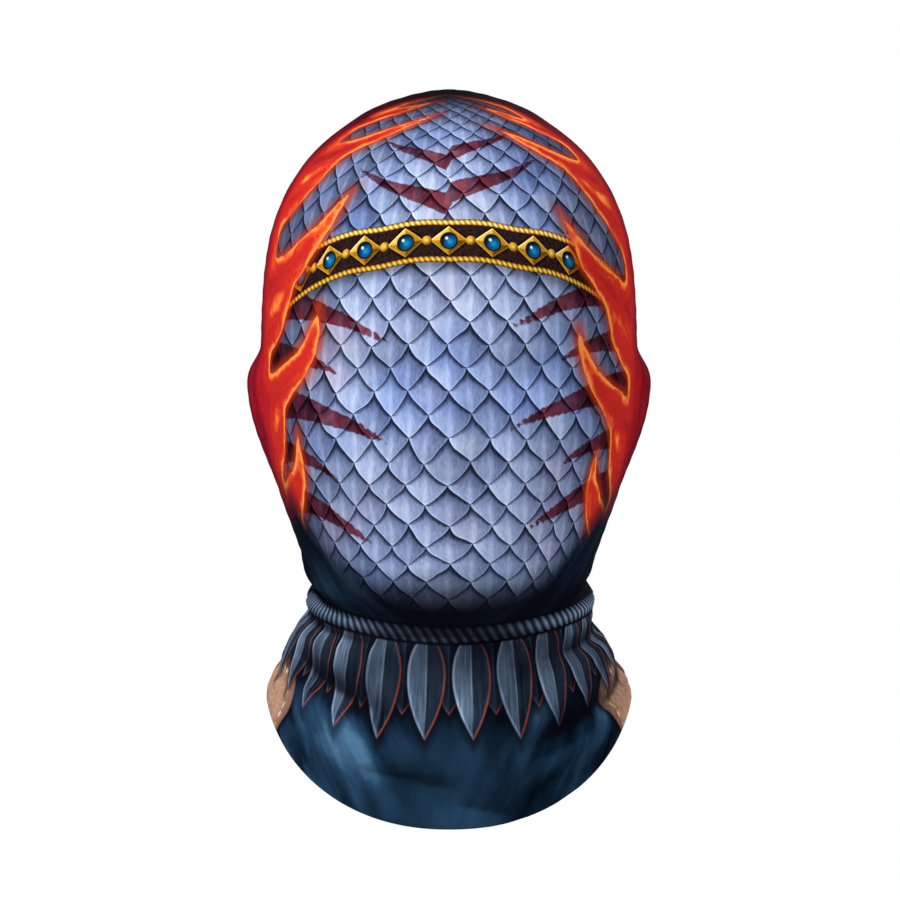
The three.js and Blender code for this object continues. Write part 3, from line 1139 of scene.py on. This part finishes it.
def hood_print(tree):
    """The whole print's colour, with the shade and light painted into it."""
    across, height, z = kept(tree, "cloth")
    column, row, inset = kept(tree, "hide")
    # fold carries the painted shade of the creases and the painted light of the rolls
    flame, stripe, fold = kept(tree, "ink_and_fold_shade")
    spot = object_spot(tree)
    head = hide_print(across, height, inset, column, row, flame, stripe, spot)
    neck = neck_print(across, inset, column, z, spot)
    at_side = rise(inset, *SIDE_IN)
    above_throat = z - THROAT_Z - calc("MINIMUM", across * across * THROAT_BEND, THROAT_CLIMB)
    above_throat = above_throat + (noise(spot, 0.05, 4, 0.6) - 0.5) * 30 * at_side
    design = blend(rise(above_throat, -5 - at_side * 9, 12 + at_side * 16), neck, head)
    design = add_shade(design, across, height, inset, z, fold)
    return add_hatching(design, across, height, z)


def knit_height(tree):
    """The fine loops of the knit, with a slight unevenness of the cloth."""
    across, height, _ = kept(tree, "cloth")
    wale = centred(across / WALE)
    yarn = calc("SINE", (height / COURSE + size(wale) * LOOP_SLANT) * 2 * math.pi)
    groove = calc("COSINE", wale * 2 * math.pi)
    uneven = noise(object_spot(tree), 0.12, 3)
    return yarn * YARN_RELIEF + groove * GROOVE_RELIEF + uneven * UNEVEN_RELIEF


def printed_knit():
    """The outside of the cloth."""
    material, shader = new_material("printed_knit", specular=0.003, sheen=0.0)
    tree = material.node_tree
    wire(shader.inputs["Base Color"], hood_print(tree))
    wire(shader.inputs["Roughness"], spread(noise(object_spot(tree), 0.3, 4), 0.7, 1.0))
    bumped(shader, knit_height(tree), reach=0.03)
    return material


def plain_knit():
    """The unprinted inside of the cloth, a little uneven in tone."""
    material, shader = new_material("plain_knit", specular=0.2, sheen=0.2)
    tree = material.node_tree
    shine = noise(object_spot(tree), 0.05, 4)
    cloth = shades(shine, (0.3, colour(190, 189, 194)), (0.7, colour(212, 211, 213)))
    wire(shader.inputs["Base Color"], cloth)
    wire(shader.inputs["Roughness"], spread(shine, 0.78, 0.98))
    bumped(shader, knit_height(tree), reach=0.04)
    return material


def seam_thread():
    """Dark polyester thread with a twist."""
    material, shader = new_material("seam_thread", specular=0.4, sheen=0.1)
    spot = object_spot(material.node_tree)
    fluff = noise(spot, 4.0, 3)
    thread = shades(fluff, (0.3, colour(10, 9, 13)), (0.7, colour(34, 30, 36)))
    wire(shader.inputs["Base Color"], thread)
    wire(shader.inputs["Roughness"], spread(fluff, 0.45, 0.75))
    bumped(shader, fluff, reach=0.05)
    return material


# The studio


def add_floor():
    """A plain pale floor below the hood."""
    mesh = bpy.data.meshes.new("floor")
    level = cad_box[0].z - FLOOR_DROP
    sides = [(-1, -1), (1, -1), (1, 1), (-1, 1)]
    corners = [(x * FLOOR_REACH, y * FLOOR_REACH, level) for x, y in sides]
    mesh.from_pydata(corners, [], [(0, 1, 2, 3)])
    material, shader = new_material("floor", specular=0.1, sheen=0.0)
    shader.inputs["Base Color"].default_value = (FLOOR_TONE, FLOOR_TONE, FLOOR_TONE, 1)
    shader.inputs["Roughness"].default_value = FLOOR_ROUGHNESS
    floor = new_object("floor", mesh, [material])


def add_light(light):
    """A soft square lamp that faces the hood."""
    lamp = bpy.data.lights.new(light.name, "AREA")
    lamp.size = light.size
    lamp.energy = light.power
    holder = bpy.data.objects.new(light.name, lamp)
    holder.location = light.place
    facing = Vector(LIGHTS_AIM) - Vector(light.place)
    holder.rotation_euler = facing.to_track_quat("-Z", "Y").to_euler()
    bpy.context.scene.collection.objects.link(holder)


def add_world():
    """An even white surround, brighter to the eye than the light that it gives."""
    world = bpy.data.worlds.new("studio")
    world.use_nodes = True
    tree = world.node_tree
    background = tree.nodes["Background"]
    background.inputs["Color"].default_value = (1, 1, 1, 1)
    to_camera = Field(tree.nodes.new("ShaderNodeLightPath").outputs["Is Camera Ray"])
    wire(background.inputs["Strength"], spread(to_camera, SURROUND_LIT, SURROUND_SEEN))
    bpy.context.scene.world = world


def add_camera():
    """The photograph's view, straight from the front with a long lens."""
    data = bpy.data.cameras.new("camera")
    data.sensor_width = SENSOR
    data.lens = SENSOR * CAMERA_DISTANCE / (PHOTO_SIZE * PIXEL)
    data.clip_end = CAMERA_SIGHT * MM
    camera = bpy.data.objects.new("camera", data)
    x = (PHOTO_SIZE / 2 - MIDDLE_COLUMN) * PIXEL
    z = (HEM_LINE - PHOTO_SIZE / 2) * PIXEL + WALL - HOOD_HEIGHT
    camera.location = Vector((x, -CAMERA_DISTANCE, z)) * MM
    camera.rotation_euler = (math.radians(90), 0, 0)
    bpy.context.scene.collection.objects.link(camera)
    bpy.context.scene.camera = camera


add_camera()
add_floor()
add_world()
for light in LIGHTS:
    add_light(light)
bpy.context.scene.view_settings.view_transform = "Standard"

cloth_materials = [printed_knit(), plain_knit()]
front, *front_cut = cloth_panel("front_cloth", 0, FRONT_COLUMNS, FRONT_ROWS, cloth_materials)
back, *back_cut = cloth_panel("back_cloth", 180, BACK_COLUMNS, BACK_ROWS, cloth_materials)
stitches = seam_stitches("seam_stitches", seam_thread())

for piece in (front, back, stitches):
    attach(piece, "root")
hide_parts("front_panel")
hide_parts("back_panel")
for piece, (width, length, area), sewn_to in ((front, front_cut, back), (back, back_cut, front)):
    flat = (width * CUT_ACROSS, length * CUT_ALONG)
    flat_area = area * CUT_ACROSS * CUT_ALONG
